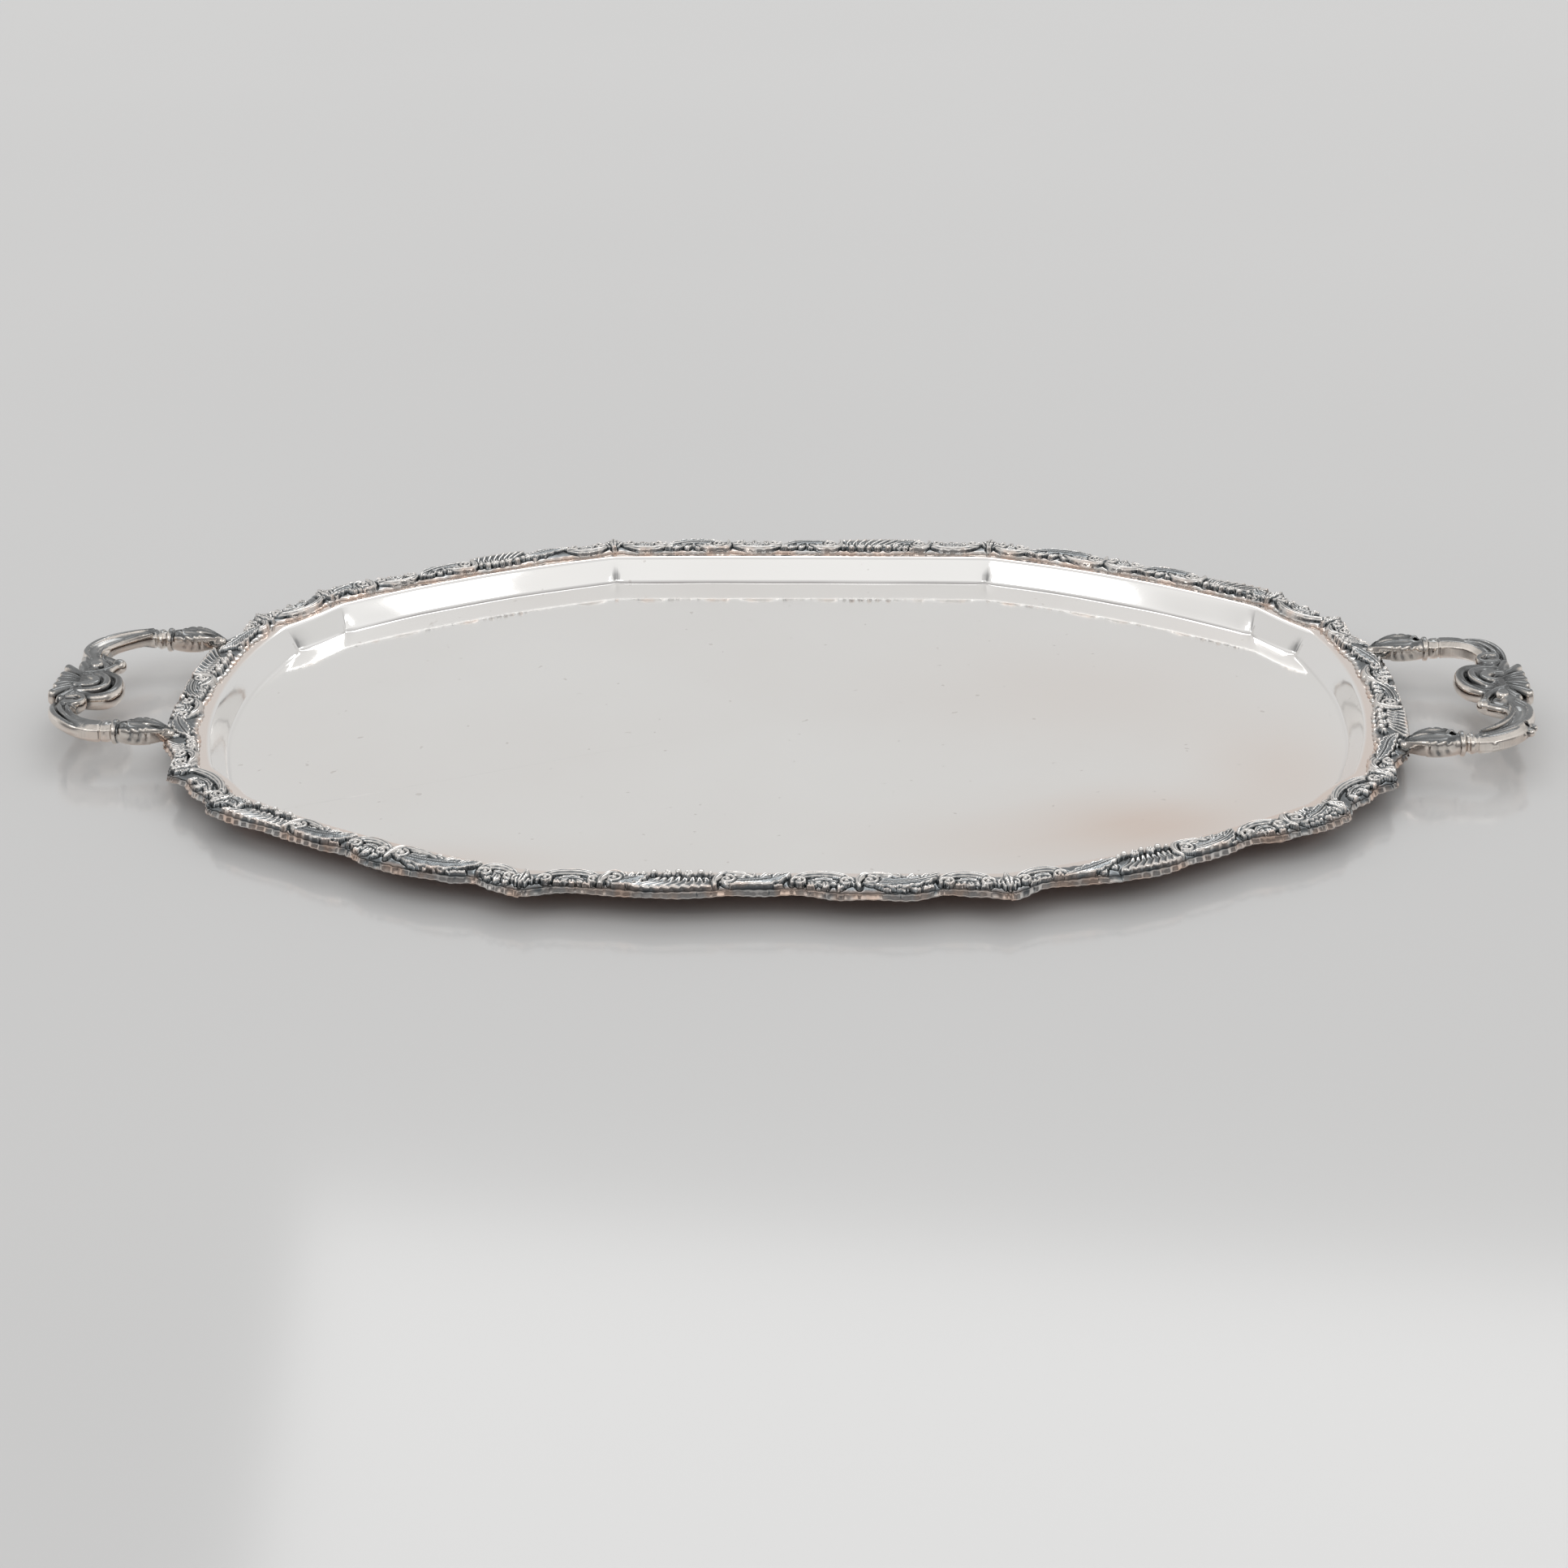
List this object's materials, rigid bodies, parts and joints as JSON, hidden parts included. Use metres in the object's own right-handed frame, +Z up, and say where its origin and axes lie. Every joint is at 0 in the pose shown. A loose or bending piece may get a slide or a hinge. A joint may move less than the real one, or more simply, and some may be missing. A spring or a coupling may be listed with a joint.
{
  "type": "vanity tray",
  "caption": "Large two-handled oval tray in silver plate: flat well, fluted wall, cast scroll and shell border and cast rococo bow handles.",
  "frame": {"origin": "centre of the tray in plan, on the surface that it stands on", "axes": "+X along the tray to the right handle, +Y to the back, +Z up out of the well. Half a turn about Z maps the tray onto itself."},
  "size_m": [0.6838, 0.3994, 0.0229],
  "materials": {
    "polished_plate": "silver plate, hand polished, finely scratched, a little warm tarnish",
    "cast_border": "cast silver plate, oxidised blue-grey in its recesses, worn to copper on its outer edge",
    "cast_handle": "cast silver plate, darkened in its recesses, worn bright and warm on its high places"
  },
  "bodies": {
    "root": {"tray_body": "polished_plate", "mount_right_end": "cast_border", "mount_back_right_corner": "cast_border", "mount_back_right": "cast_border", "mount_back_centre": "cast_border", "mount_back_left": "cast_border", "mount_back_left_corner": "cast_border", "mount_left_end": "cast_border", "mount_front_left_corner": "cast_border", "mount_front_left": "cast_border", "mount_front_centre": "cast_border", "mount_front_right": "cast_border", "mount_front_right_corner": "cast_border", "handle_bow_right": "cast_handle", "handle_bow_left": "cast_handle", "shoulder_right_back": "cast_handle", "shoulder_right_front": "cast_handle", "shoulder_left_back": "cast_handle", "shoulder_left_front": "cast_handle"}
  },
  "joints": []
}
